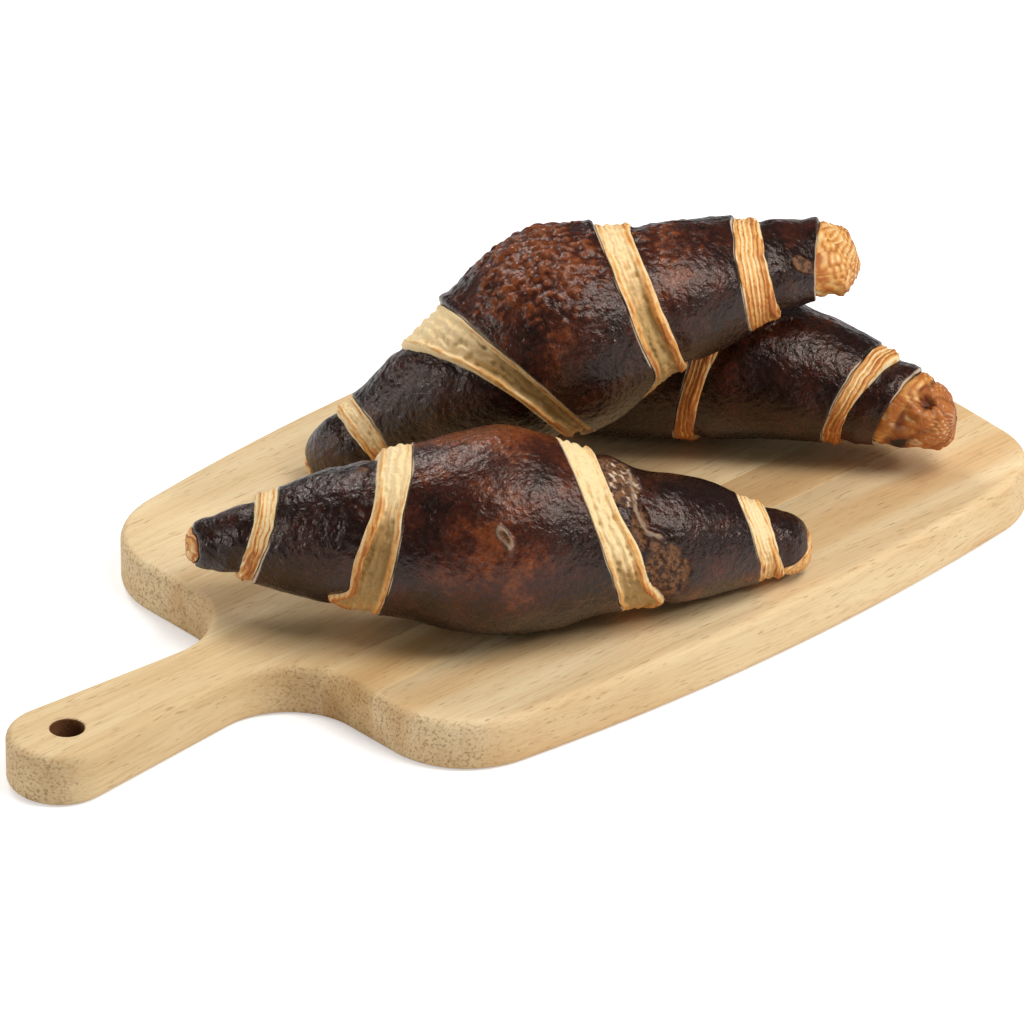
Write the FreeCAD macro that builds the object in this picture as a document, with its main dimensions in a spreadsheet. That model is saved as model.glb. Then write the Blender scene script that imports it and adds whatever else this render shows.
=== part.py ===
"""Wooden pastry board with a handle, and the filled cocoa croissants lying on it.

Millimetres, +Z up. The origin is on the surface that the board stands on, in the middle
of its outline. The handle points along -X and the far end of the board along +X.
"""
import FreeCAD, Part
import Sketcher
import math
import os

os.makedirs("parts", exist_ok=True)
doc = FreeCAD.newDocument("pastry_board")

# ---------------------------------------------------------------- driving dimensions

BOARD_SIZES = {
    "body_length": 212.0,        # shoulder to far corners
    "body_width": 142.0,         # across the corners, before they are rounded
    "side_bulge": 9.0,           # how far each long side swells past the corners
    "end_bulge": 2.75,           # how far the far end swells past the corners
    "board_thickness": 15.0,
    "shoulder_round": 26.0,
    "far_round": 23.0,
    "rim_round": 2.5,            # all round the top and bottom edges
    "handle_length": 85.0,
    "handle_end_width": 28.5,
    "handle_root_width": 17.0,   # where the handle's sides would meet the shoulder
    "root_round": 20.5,
    "hole_diameter": 9.0,
    "hole_rim_round": 0.8,
    "hole_inset": 16.5,          # handle's end to the hole's middle
    "seam_rear": 34.0,           # glue lines between the staves, from the middle line
    "seam_front_inner": 23.0,
    "seam_front_outer": 41.0,
}
PASTRY_SIZES = {
    "skin_thickness": 1.6,       # cocoa dough laid over the plain dough
    "skin_gap": 0.2,
    "seat_gap": 0.35,            # crust to whatever it lies on
    "filling_length": 52.0,
    "filling_width": 17.0,
    "filling_height": 13.0,
}

# Each croissant: where the middle of its back stands on the board, how it is turned (the
# top one's pitch comes from what it lies on), its
# length between the centres of its round ends, its curve, how far the edges of its wraps
# lean inwards at the top, its crust radius at the seven stations and its wraps' edges.
# Stations and edges are shares of half its length, from the middle.
STATIONS = (-1.0, -0.7, -0.35, 0.0, 0.35, 0.7, 1.0)
CROISSANTS = {
    "front": {
        "place": (-6.0, -24.0), "yaw": -37.0, "pitch": -3.5, "roll": 0.0,
        "length": 149.0, "bend": -15.0, "droop": 12.0, "lean": 16.0,
        "radii": (7.0, 15.5, 22.5, 26.5, 21.0, 15.5, 8.5),
        "wraps": ((-1.06, -0.89), (-0.82, -0.51), (-0.39, 0.32), (0.43, 0.87), (0.96, 1.06)),
    },
    "rear": {
        "place": (75.0, 2.8), "yaw": -52.0, "pitch": 2.3, "roll": 0.0,
        "length": 138.0, "bend": 8.0, "droop": 8.0, "lean": -20.0,
        "radii": (8.0, 15.0, 20.4, 22.3, 20.0, 15.7, 10.5),
        "wraps": ((-1.04, -0.93), (-0.86, -0.49), (-0.38, 0.165), (0.24, 0.735), (0.81, 0.947)),
    },
    "top": {
        "place": (47.0, 13.5), "yaw": -32.0, "roll": 0.0,
        "length": 137.0, "bend": -17.0, "droop": 19.0, "lean": -12.0,
        "radii": (9.0, 13.0, 22.0, 27.0, 21.0, 15.5, 10.5),
        "wraps": ((-1.08, -0.89), (-0.80, -0.38), (-0.21, 0.26), (0.39, 0.75), (0.84, 1.00)),
    },
}

sheet = doc.addObject("Spreadsheet::Sheet", "Sizes")
sheet_row = 0


def write_size(alias, value):
    """Put one driving dimension on the next row of the sheet, under its own name."""
    global sheet_row
    sheet_row += 1
    sheet.set("A%d" % sheet_row, alias)
    sheet.set("B%d" % sheet_row, str(value))
    sheet.setAlias("B%d" % sheet_row, alias)


for alias, value in {**BOARD_SIZES, **PASTRY_SIZES}.items():
    write_size(alias, value)
for name, croissant in CROISSANTS.items():
    for alias in ("yaw", "pitch", "roll", "length", "bend", "droop", "lean"):
        if alias in croissant:
            write_size("%s_%s" % (name, alias), croissant[alias])
    write_size("%s_place_along" % name, croissant["place"][0])
    write_size("%s_place_across" % name, croissant["place"][1])
    for number, radius in enumerate(croissant["radii"], 1):
        write_size("%s_radius_%d" % (name, number), radius)
    for number, (start, end) in enumerate(croissant["wraps"], 1):
        write_size("%s_wrap_%d_start" % (name, number), start)
        write_size("%s_wrap_%d_end" % (name, number), end)
doc.recompute()


def size(alias):
    """Read a driving dimension back from the sheet."""
    return float(sheet.get(alias))


def bind(thing, **expressions):
    """Bind properties to the sheet: in a name, two underscores stand for a full stop."""
    for prop, expression in expressions.items():
        thing.setExpression(prop.replace("__", "."), expression)


# ---------------------------------------------------------------- the board's blank
# One flat blank: a body with bowed sides, and a handle that widens to a round end.
# Drawn with the shoulder on the Y axis, then moved so that the whole is centred.

blank = doc.addObject("PartDesign::Body", "board_blank")
bind(blank, Placement__Base__x="-(Sizes.body_length + Sizes.end_bulge - Sizes.handle_length) / 2")


def sketch_on_base(name):
    """A sketch on the blank's own horizontal plane."""
    sketch = blank.newObject("Sketcher::SketchObject", name)
    plane = [f for f in blank.Origin.OriginFeatures if f.Role == "XY_Plane"][0]
    sketch.AttachmentSupport = [(plane, "")]
    sketch.MapMode = "FlatFace"
    return sketch


def constrain(sketch, kind, *places, value=None, expression=None):
    """Add one constraint, with its value bound to the sheet where it has one."""
    if value is None:
        return sketch.addConstraint(Sketcher.Constraint(kind, *places))
    index = sketch.addConstraint(Sketcher.Constraint(kind, *places, value))
    sketch.setExpression("Constraints[%d]" % index, expression)
    return index


UP = FreeCAD.Vector(0, 0, 1)
START, END, MIDDLE = 1, 2, 3
ORIGIN_POINT, X_AXIS, Y_AXIS = (-1, 1), -1, -2


def bowed_arc(centre, radius, first, last):
    """An arc of a circle from one angle to another, anticlockwise, in degrees."""
    circle = Part.Circle(centre, UP, radius)
    return Part.ArcOfCircle(circle, math.radians(first), math.radians(last))


def bow_radius(chord, bulge):
    """Radius of an arc that swells by bulge over a chord."""
    return (chord * chord / 4 + bulge * bulge) / (2 * bulge)


length = size("body_length")
half_width = size("body_width") / 2
side_radius = bow_radius(length, size("side_bulge"))
end_radius = bow_radius(2 * half_width, size("end_bulge"))
side_angle = math.degrees(math.asin(length / 2 / side_radius))
end_angle = math.degrees(math.asin(half_width / end_radius))
side_centre = half_width + size("side_bulge") - side_radius

outline = sketch_on_base("body_outline")
outline.addGeometry(Part.LineSegment(FreeCAD.Vector(0, -half_width, 0),
                                     FreeCAD.Vector(0, half_width, 0)), False)
outline.addGeometry(bowed_arc(FreeCAD.Vector(length / 2, side_centre, 0), side_radius,
                              90 - side_angle, 90 + side_angle), False)
outline.addGeometry(bowed_arc(FreeCAD.Vector(length + size("end_bulge") - end_radius, 0, 0),
                              end_radius, -end_angle, end_angle), False)
outline.addGeometry(bowed_arc(FreeCAD.Vector(length / 2, -side_centre, 0), side_radius,
                              270 - side_angle, 270 + side_angle), False)
SHOULDER, REAR_SIDE, FAR_END, FRONT_SIDE = range(4)
constrain(outline, "Coincident", SHOULDER, START, FRONT_SIDE, START)
constrain(outline, "Coincident", FRONT_SIDE, END, FAR_END, START)
constrain(outline, "Coincident", FAR_END, END, REAR_SIDE, START)
constrain(outline, "Coincident", REAR_SIDE, END, SHOULDER, END)
constrain(outline, "PointOnObject", SHOULDER, START, Y_AXIS)
constrain(outline, "Symmetric", SHOULDER, START, SHOULDER, END, X_AXIS)
constrain(outline, "Symmetric", FAR_END, START, FAR_END, END, X_AXIS)
constrain(outline, "DistanceY", SHOULDER, START, SHOULDER, END,
          value=2 * half_width, expression="Sizes.body_width")
constrain(outline, "DistanceY", FAR_END, START, FAR_END, END,
          value=2 * half_width, expression="Sizes.body_width")
constrain(outline, "DistanceX", SHOULDER, START, FAR_END, START,
          value=length, expression="Sizes.body_length")
SIDE_BOW = "(Sizes.body_length ^ 2 / 4 + Sizes.side_bulge ^ 2) / (2 * Sizes.side_bulge)"
END_BOW = "(Sizes.body_width ^ 2 / 4 + Sizes.end_bulge ^ 2) / (2 * Sizes.end_bulge)"
constrain(outline, "Radius", REAR_SIDE, value=side_radius, expression=SIDE_BOW)
constrain(outline, "Radius", FRONT_SIDE, value=side_radius, expression=SIDE_BOW)
constrain(outline, "Radius", FAR_END, value=end_radius, expression=END_BOW)

body_pad = blank.newObject("PartDesign::Pad", "body_pad")
body_pad.Profile = outline
bind(body_pad, Length="Sizes.board_thickness")
doc.recompute()

root_half = size("handle_root_width") / 2
end_half = size("handle_end_width") / 2
end_middle = end_half - size("handle_length")
splay = math.degrees(math.atan2(end_half - root_half, -end_middle))

handle = sketch_on_base("handle_outline")
handle.addGeometry(Part.LineSegment(FreeCAD.Vector(0, -root_half, 0),
                                    FreeCAD.Vector(0, root_half, 0)), False)
handle.addGeometry(Part.LineSegment(FreeCAD.Vector(0, root_half, 0),
                                    FreeCAD.Vector(end_middle, end_half, 0)), False)
handle.addGeometry(bowed_arc(FreeCAD.Vector(end_middle, 0, 0), end_half,
                             90 - splay, 270 + splay), False)
handle.addGeometry(Part.LineSegment(FreeCAD.Vector(end_middle, -end_half, 0),
                                    FreeCAD.Vector(0, -root_half, 0)), False)
ROOT, REAR_EDGE, ROUND_END, FRONT_EDGE = range(4)
constrain(handle, "Coincident", ROOT, END, REAR_EDGE, START)
constrain(handle, "Coincident", FRONT_EDGE, END, ROOT, START)
constrain(handle, "Tangent", REAR_EDGE, END, ROUND_END, START)
constrain(handle, "Tangent", ROUND_END, END, FRONT_EDGE, START)
constrain(handle, "PointOnObject", ROOT, START, Y_AXIS)
constrain(handle, "Symmetric", ROOT, START, ROOT, END, X_AXIS)
constrain(handle, "PointOnObject", ROUND_END, MIDDLE, X_AXIS)
constrain(handle, "DistanceY", ROOT, START, ROOT, END,
          value=2 * root_half, expression="Sizes.handle_root_width")
constrain(handle, "DistanceX", ROUND_END, MIDDLE, *ORIGIN_POINT,
          value=-end_middle, expression="Sizes.handle_length - Sizes.handle_end_width / 2")
constrain(handle, "Radius", ROUND_END, value=end_half, expression="Sizes.handle_end_width / 2")

handle_pad = blank.newObject("PartDesign::Pad", "handle_pad")
handle_pad.Profile = handle
bind(handle_pad, Length="Sizes.board_thickness")
doc.recompute()


def edges_where(feature, test):
    """Names of a feature's edges that pass a test, in the blank's own coordinates."""
    return ["Edge%d" % number for number, edge in enumerate(feature.Shape.Edges, 1) if test(edge)]


def upright_at(along, across, reach=0.5):
    """Test for an upright edge near a place given from the shoulder and the middle line."""
    def test(edge):
        box = edge.BoundBox
        upright = box.ZLength > box.XLength + box.YLength
        near = abs(box.Center.x - along) < reach and abs(abs(box.Center.y) - across) < reach
        return upright and near
    return test


def round_edges(base, name, test, radius):
    """Round the edges of a feature that pass a test."""
    fillet = blank.newObject("PartDesign::Fillet", name)
    fillet.Base = (base, edges_where(base, test))
    bind(fillet, Radius=radius)
    doc.recompute()
    return fillet


shoulders = round_edges(handle_pad, "shoulder_rounds", upright_at(0, half_width),
                        "Sizes.shoulder_round")
far_corners = round_edges(shoulders, "far_rounds", upright_at(length, half_width),
                          "Sizes.far_round")
roots = round_edges(far_corners, "root_rounds", upright_at(0, root_half), "Sizes.root_round")

hole = sketch_on_base("hole_outline")
hole_middle = size("hole_inset") - size("handle_length")
hole.addGeometry(Part.Circle(FreeCAD.Vector(hole_middle, 0, 0), UP,
                             size("hole_diameter") / 2), False)
constrain(hole, "PointOnObject", 0, MIDDLE, X_AXIS)
constrain(hole, "DistanceX", 0, MIDDLE, *ORIGIN_POINT,
          value=-hole_middle, expression="Sizes.handle_length - Sizes.hole_inset")
constrain(hole, "Radius", 0, value=size("hole_diameter") / 2,
          expression="Sizes.hole_diameter / 2")
bore = blank.newObject("PartDesign::Pocket", "hanging_hole")
bore.Profile = hole
bore.Type = "ThroughAll"
bore.Reversed = True
doc.recompute()


def is_flat(edge):
    return edge.BoundBox.ZLength < 0.01


def is_at_hole(edge):
    centre = edge.BoundBox.Center
    return math.hypot(centre.x - hole_middle, centre.y) < 1


hole_rim = round_edges(bore, "hole_rim_rounds", lambda edge: is_flat(edge) and is_at_hole(edge),
                       "Sizes.hole_rim_round")
rim = round_edges(hole_rim, "rim_rounds", lambda edge: is_flat(edge) and not is_at_hole(edge),
                  "Sizes.rim_round")
blank.Tip = rim
doc.recompute()

# ---------------------------------------------------------------- the staves
# The blank is glued up from staves that run from end to end, edge to edge.

nodes = []
REACH = 200.0      # further than any piece of the board or of a croissant


def stave(name, low, high):
    """The blank between two glue lines, each given as an expression across the board."""
    strip = doc.addObject("Part::Box", name + "_strip")
    bind(strip, Length="%g" % (2 * REACH), Width="(%s) - (%s)" % (high, low), Height="%g" % REACH,
         Placement__Base__x="%g" % -REACH, Placement__Base__y=low, Placement__Base__z="%g" % -10)
    piece = doc.addObject("Part::Common", name)
    piece.Base = blank
    piece.Tool = strip
    piece.Label = name
    nodes.append(piece)


stave("rear_stave", "Sizes.seam_rear", "%g" % REACH)
stave("handle_stave", "-Sizes.seam_front_inner", "Sizes.seam_rear")
stave("front_inner_stave", "-Sizes.seam_front_outer", "-Sizes.seam_front_inner")
stave("front_outer_stave", "%g" % -REACH, "-Sizes.seam_front_outer")

# ---------------------------------------------------------------- the croissants
# Each lies along its own X axis with its curve in XY and its drooping ends along -Z. The
# crust is a loft through round sections; the cocoa wraps are cut from a thin skin of it.


TIP_SHARES = (0.55, 0.93)      # rings on each round end, as shares of its radius


def croissant_loft(name, kind, inset):
    """The croissant's round sections, drawn in by inset, as one smooth solid."""
    half = "(Sizes.%s_length / 2)" % name
    radii = ["(Sizes.%s_radius_%d - (%s))" % (name, n, inset) for n in range(1, len(STATIONS) + 1)]
    rings = [("(%g)" % share, radius) for share, radius in zip(STATIONS, radii)]
    for share in TIP_SHARES:
        ring_share = "%g" % math.sqrt(1 - share * share)
        first, last = radii[0], radii[-1]
        rings.insert(0, ("(-1 - %g * %s / %s)" % (share, first, half), first + " * " + ring_share))
        rings.append(("(1 + %g * %s / %s)" % (share, last, half), last + " * " + ring_share))
    sections = []
    for number, (place, radius) in enumerate(rings, 1):
        ring = doc.addObject("Part::Circle", "%s_%s_ring_%d" % (name, kind, number))
        ring.Placement.Rotation = FreeCAD.Rotation(FreeCAD.Vector(0, 1, 0), 90)
        bind(ring, Radius=radius,
             Placement__Base__x="%s * %s" % (half, place),
             Placement__Base__y="Sizes.%s_bend * (1 - %s ^ 2)" % (name, place),
             Placement__Base__z="-Sizes.%s_droop * %s ^ 2" % (name, place))
        sections.append(ring)
    loft = doc.addObject("Part::Loft", "%s_%s_loft" % (name, kind))
    loft.Sections = sections
    loft.Solid = True
    loft.Ruled = False
    return loft


BLOCK_REACH = 45.0     # more than the radius and droop of a croissant


def wrap_block(name, number):
    """A block over one wrap, whose two ends lean towards the middle of the croissant."""
    block = doc.addObject("Part::Wedge", "%s_wrap_%d_block" % (name, number))
    edges = {"min": "Sizes.%s_wrap_%d_start" % (name, number),
             "max": "Sizes.%s_wrap_%d_end" % (name, number)}
    slope = "%g * tan(Sizes.%s_lean * 1deg)" % (BLOCK_REACH, name)
    for side, share in edges.items():
        place = "%s * Sizes.%s_length / 2" % (share, name)
        lean = "(%s < 0 ? 1 : -1) * %s" % (share, slope)
        block.setExpression("X" + side, "%s - %s" % (place, lean))
        block.setExpression("X2" + side, "%s + %s" % (place, lean))
    for low, high in (("Ymin", "Ymax"), ("Zmin", "Zmax"), ("Z2min", "Z2max")):
        block.setExpression(low, "%g" % -BLOCK_REACH)
        block.setExpression(high, "%g" % BLOCK_REACH)
    block.Placement.Rotation = FreeCAD.Rotation(FreeCAD.Vector(1, 0, 0), 90)
    return block


def croissant_pieces(name):
    """The dough, the filling and the wraps of one croissant, in its own coordinates."""
    skin_inset = "Sizes.skin_thickness"
    crust = croissant_loft(name, "crust", "0")
    inside = croissant_loft(name, "inside", skin_inset)
    roll = croissant_loft(name, "roll", "%s + Sizes.skin_gap" % skin_inset)
    core = doc.addObject("Part::Ellipsoid", name + "_core")
    bind(core, Radius1="Sizes.filling_height / 2", Radius2="Sizes.filling_length / 2",
         Radius3="Sizes.filling_width / 2", Placement__Base__y="Sizes.%s_bend" % name)
    skin = doc.addObject("Part::Cut", name + "_skin")
    skin.Base, skin.Tool = crust, inside
    dough = doc.addObject("Part::Cut", name + "_dough")
    dough.Base, dough.Tool = roll, core
    filling = doc.addObject("Part::Common", name + "_filling")
    filling.Base, filling.Tool = roll, core
    pieces = [dough, filling]
    for number in range(1, len(CROISSANTS[name]["wraps"]) + 1):
        wrap = doc.addObject("Part::Common", "%s_wrap_%d" % (name, number))
        wrap.Base, wrap.Tool = skin, wrap_block(name, number)
        pieces.append(wrap)
    return pieces


pieces = {name: croissant_pieces(name) for name in CROISSANTS}
doc.recompute()

# ---------------------------------------------------------------- how they lie
# Two croissants lie on the board. The third has its thin end on the board and its belly on
# the rear one, which it is tried against as a chain of balls along that one's back.

BALLS = 60
MESH_STEP = 0.5       # how closely the points on a croissant follow it
STEEPEST = 45.0       # degrees
HALVINGS = 14
BOARD_TOP = size("board_thickness")
surface = {name: [point for piece in pieces[name] for point in piece.Shape.tessellate(MESH_STEP)[0]]
           for name in CROISSANTS}


def chain(name, placement):
    """Ball centres and radii along the back of a croissant that lies where it is told."""
    half = size(name + "_length") / 2
    radii = [size("%s_radius_%d" % (name, n)) for n in range(1, len(STATIONS) + 1)]
    balls = []
    for step in range(BALLS + 1):
        share = -1 + 2 * step / BALLS
        span = min(sum(share >= station for station in STATIONS), len(radii) - 1) - 1
        part = (share - STATIONS[span]) / (STATIONS[span + 1] - STATIONS[span])
        near = [min(max(span + offset, 0), len(radii) - 1) for offset in (-1, 0, 1, 2)]
        before, low, high, after = (radii[i] for i in near)
        bend = 2 * before - 5 * low + 4 * high - after
        twist = 3 * (low - high) + after - before
        radius = low + 0.5 * part * (high - before + part * (bend + part * twist))
        centre = FreeCAD.Vector(half * share, size(name + "_bend") * (1 - share ** 2),
                                -size(name + "_droop") * share ** 2)
        balls.append((placement.multVec(centre), radius))
    return balls


def pose(name, height, pitch):
    """A croissant's placement, with its middle at a height and its length at a pitch."""
    turn = FreeCAD.Rotation(size(name + "_yaw"), -pitch, size(name + "_roll"))
    place = FreeCAD.Vector(size(name + "_place_along"), size(name + "_place_across"), height)
    return FreeCAD.Placement(place, turn)


def on_board(name, pitch):
    """The placement at which a croissant just clears the board."""
    low = min(pose(name, 0, pitch).multVec(point).z for point in surface[name])
    return pose(name, BOARD_TOP + size("seat_gap") - low, pitch)


def gap_to(balls, name, placement):
    """The least distance from a placed croissant to a chain of balls."""
    placed = [placement.multVec(point) for point in surface[name]]
    return min(point.distanceToPoint(centre) - radius for point in placed for centre, radius in balls)


def leaning(name, support):
    """The placement with one end on the board at which a croissant just clears its support."""
    flat, steep = 0.0, STEEPEST
    for _ in range(HALVINGS):
        middle = (flat + steep) / 2
        if gap_to(support, name, on_board(name, middle)) < size("seat_gap"):
            flat = middle
        else:
            steep = middle
    return on_board(name, steep)


poses = {name: on_board(name, size(name + "_pitch")) for name in ("front", "rear")}
poses["top"] = leaning("top", chain("rear", poses["rear"]))

for name in CROISSANTS:
    for piece in pieces[name]:
        piece.Label = piece.Name
        piece.Placement = poses[name]
        nodes.append(piece)
doc.recompute()

# ---------------------------------------------------------------- checks and files

for thing in doc.Objects:
    if "Invalid" in thing.State or "Error" in thing.State:
        raise RuntimeError("%s did not build: %s" % (thing.Name, thing.State))
for node in nodes:
    if node.Shape.isNull() or not node.Shape.isValid() or not node.Shape.Solids:
        raise RuntimeError("%s has no valid solid" % node.Label)
for node in nodes:
    node.Shape.exportStep("parts/%s.step" % node.Label)
    print("%-20s %d solid  %9.1f mm3" % (node.Label, len(node.Shape.Solids), node.Shape.Volume))
for name, placement in poses.items():
    print("%-6s stands at %.2f, pitch %.2f" % (name, placement.Base.z,
                                               -placement.Rotation.getYawPitchRoll()[1]))
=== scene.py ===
import math

import bmesh
import bpy
import numpy as np
from mathutils import Matrix, Vector


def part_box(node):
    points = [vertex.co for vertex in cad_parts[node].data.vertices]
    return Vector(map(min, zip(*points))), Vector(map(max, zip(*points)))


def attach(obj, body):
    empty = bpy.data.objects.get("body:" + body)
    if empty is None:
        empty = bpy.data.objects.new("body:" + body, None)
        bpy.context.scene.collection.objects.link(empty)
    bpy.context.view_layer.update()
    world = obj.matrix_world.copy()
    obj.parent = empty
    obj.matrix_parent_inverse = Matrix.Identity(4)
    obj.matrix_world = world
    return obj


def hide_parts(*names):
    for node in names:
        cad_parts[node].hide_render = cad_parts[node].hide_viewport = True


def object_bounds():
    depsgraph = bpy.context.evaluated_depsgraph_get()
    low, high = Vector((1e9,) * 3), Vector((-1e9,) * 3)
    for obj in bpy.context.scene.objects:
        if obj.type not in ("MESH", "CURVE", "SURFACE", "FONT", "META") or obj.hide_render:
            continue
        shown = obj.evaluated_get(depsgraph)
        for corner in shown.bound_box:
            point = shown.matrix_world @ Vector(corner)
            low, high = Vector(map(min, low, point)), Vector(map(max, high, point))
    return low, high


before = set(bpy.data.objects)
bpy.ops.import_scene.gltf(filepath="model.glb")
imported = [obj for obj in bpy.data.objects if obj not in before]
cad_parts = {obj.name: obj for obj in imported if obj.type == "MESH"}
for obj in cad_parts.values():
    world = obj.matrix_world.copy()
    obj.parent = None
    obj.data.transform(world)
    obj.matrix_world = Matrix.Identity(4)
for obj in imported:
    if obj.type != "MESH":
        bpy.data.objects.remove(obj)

cad_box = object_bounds()
scene = bpy.context.scene

# ---------------------------------------------------------------- table, light and view
# A white table that runs out of sight, wide soft lamps above the front and behind, a small
# one high on the right and another low on the left, and a long lens that looks down.

WHITE = (0.86, 0.86, 0.86, 1)
TABLE_GLOW = (0.45, 0.45, 0.45, 1)     # only the camera sees it, so that the table stays white
ROOM_LIGHT = 0.25                      # the room's strength, but for camera and transmission rays
GLOSS_CUT = -0.16                      # added to that strength for glossy rays

bm = bmesh.new()
bmesh.ops.create_grid(bm, x_segments=1, y_segments=1, size=6.0)
table_mesh = bpy.data.meshes.new("table")
bm.to_mesh(table_mesh)
bm.free()
table = bpy.data.objects.new("table", table_mesh)
scene.collection.objects.link(table)

table_finish = bpy.data.materials.new("white table")
table_finish.use_nodes = True
nodes, links = table_finish.node_tree.nodes, table_finish.node_tree.links
paint = nodes["Principled BSDF"]
paint.inputs["Base Color"].default_value = WHITE
paint.inputs["Roughness"].default_value = 0.9
paint.inputs["Specular IOR Level"].default_value = 0.1
glow = nodes.new("ShaderNodeEmission")
rays = nodes.new("ShaderNodeLightPath")
both = nodes.new("ShaderNodeAddShader")
links.new(rays.outputs["Is Camera Ray"], glow.inputs["Strength"])
glow.inputs["Color"].default_value = TABLE_GLOW
links.new(paint.outputs["BSDF"], both.inputs[0])
links.new(glow.outputs["Emission"], both.inputs[1])
links.new(both.outputs["Shader"], nodes["Material Output"].inputs["Surface"])
table_mesh.materials.append(table_finish)

room = bpy.data.worlds.new("room")
scene.world = room
room.use_nodes = True
nodes, links = room.node_tree.nodes, room.node_tree.links
rays = nodes.new("ShaderNodeLightPath")
seen = nodes.new("ShaderNodeMath")
seen.operation = "MAXIMUM"
links.new(rays.outputs["Is Camera Ray"], seen.inputs[0])
links.new(rays.outputs["Is Transmission Ray"], seen.inputs[1])
brightness = nodes.new("ShaderNodeMapRange")
brightness.inputs["To Min"].default_value = ROOM_LIGHT
brightness.inputs["To Max"].default_value = 1.0
links.new(seen.outputs["Value"], brightness.inputs["Value"])
dimmed = nodes.new("ShaderNodeMath")
dimmed.operation = "MULTIPLY_ADD"
links.new(rays.outputs["Is Glossy Ray"], dimmed.inputs[0])
dimmed.inputs[1].default_value = GLOSS_CUT
links.new(brightness.outputs["Result"], dimmed.inputs[2])
links.new(dimmed.outputs["Value"], nodes["Background"].inputs["Strength"])
nodes["Background"].inputs["Color"].default_value = (1, 1, 1, 1)


def soft_lamp(name, place, power, width):
    """A square lamp that faces the middle of the board."""
    lamp = bpy.data.lights.new(name, "AREA")
    lamp.shape = "SQUARE"
    lamp.size = width
    lamp.energy = power
    holder = bpy.data.objects.new(name, lamp)
    holder.matrix_world = (Matrix.Translation(place)
                           @ Vector(place).to_track_quat("Z", "Y").to_matrix().to_4x4())
    scene.collection.objects.link(holder)


soft_lamp("key lamp", (0.22, -0.7, 1.35), 13.0, 0.7)
soft_lamp("back lamp", (0.2, 0.95, 1.05), 7.0, 0.5)
soft_lamp("right lamp", (0.66, -1.07, 0.82), 6.0, 0.24)
soft_lamp("left lamp", (-0.95, 0.75, 0.3), 2.8, 0.24)

AIM = Vector((0.0405, 0.0222, 0.0))
DISTANCE = 4.975
turn = (Matrix.Rotation(math.radians(-41.61), 4, "Z")
        @ Matrix.Rotation(math.radians(90 - 30.55), 4, "X")
        @ Matrix.Rotation(math.radians(-0.52), 4, "Z"))
lens = bpy.data.cameras.new("view")
lens.lens = 664
lens.sensor_width = 36
lens.shift_x = -0.0016
lens.clip_end = 20
camera = bpy.data.objects.new("view", lens)
camera.matrix_world = Matrix.Translation(AIM) @ turn @ Matrix.Translation((0, 0, DISTANCE))
scene.collection.objects.link(camera)
scene.camera = camera
scene.view_settings.view_transform = "Standard"

# ---------------------------------------------------------------- serving board
# Four staves of a pale hardwood, glued edge to edge, sawn to a paddle with a round handle
# and sanded. Oiled, with open pores, a fine glue line and a different tone in each stave.


def colour(red, green, blue):
    """A colour given as it looks on a screen, from 0 to 255."""
    def linear(value):
        value /= 255
        return value / 12.92 if value < 0.04045 else ((value + 0.055) / 1.055) ** 2.4
    return (linear(red), linear(green), linear(blue), 1)


def new_group(name, inputs, outputs):
    """An empty shader node group, with its named inputs and outputs."""
    group = bpy.data.node_groups.new(name, "ShaderNodeTree")
    for direction, sockets in (("INPUT", inputs), ("OUTPUT", outputs)):
        for label, kind in sockets:
            group.interface.new_socket(label, in_out=direction, socket_type="NodeSocket" + kind)
    return group, group.nodes.new("NodeGroupInput"), group.nodes.new("NodeGroupOutput")


def wire(tree, kind, settings=None, **inputs):
    """Add a node; each input is a value or an output, and two underscores stand for a space."""
    node = tree.nodes.new("ShaderNode" + kind)
    for prop, value in (settings or {}).items():
        setattr(node, prop, value)
    for label, value in inputs.items():
        label = label.replace("__", " ")
        place = int(label[1:]) if label[0] == "n" and label[1:].isdigit() else label
        if isinstance(value, bpy.types.NodeSocket):
            tree.links.new(value, node.inputs[place])
        else:
            node.inputs[place].default_value = value
    return node


def ramp(tree, value, low, high, to_low=0.0, to_high=1.0):
    """A value's range, spread over another range and held at its ends."""
    return wire(tree, "MapRange", {"interpolation_type": "SMOOTHSTEP"}, Value=value,
                From__Min=low, From__Max=high, To__Min=to_low, To__Max=to_high).outputs[0]


def blend(tree, share, first, second, how="MIX"):
    """One colour laid over another."""
    node = wire(tree, "Mix", {"data_type": "RGBA", "blend_type": how}, n0=share)
    for place, value in ((6, first), (7, second)):
        if isinstance(value, bpy.types.NodeSocket):
            tree.links.new(value, node.inputs[place])
        else:
            node.inputs[place].default_value = value
    return node.outputs[2]


def stretched(tree, where, scale, shift=(0, 0, 0)):
    """Coordinates drawn out by a scale along each axis, so a pattern is finer where it is large."""
    return wire(tree, "Mapping", None, Vector=where, Scale=scale, Location=shift).outputs[0]


def speckle(tree, where, size, detail=2.0, roughness=0.5):
    """Noise whose bumps are about one over size across, from 0 to 1."""
    return wire(tree, "TexNoise", None, Vector=where, Scale=size, Detail=detail,
                Roughness=roughness).outputs["Fac"]


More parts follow.
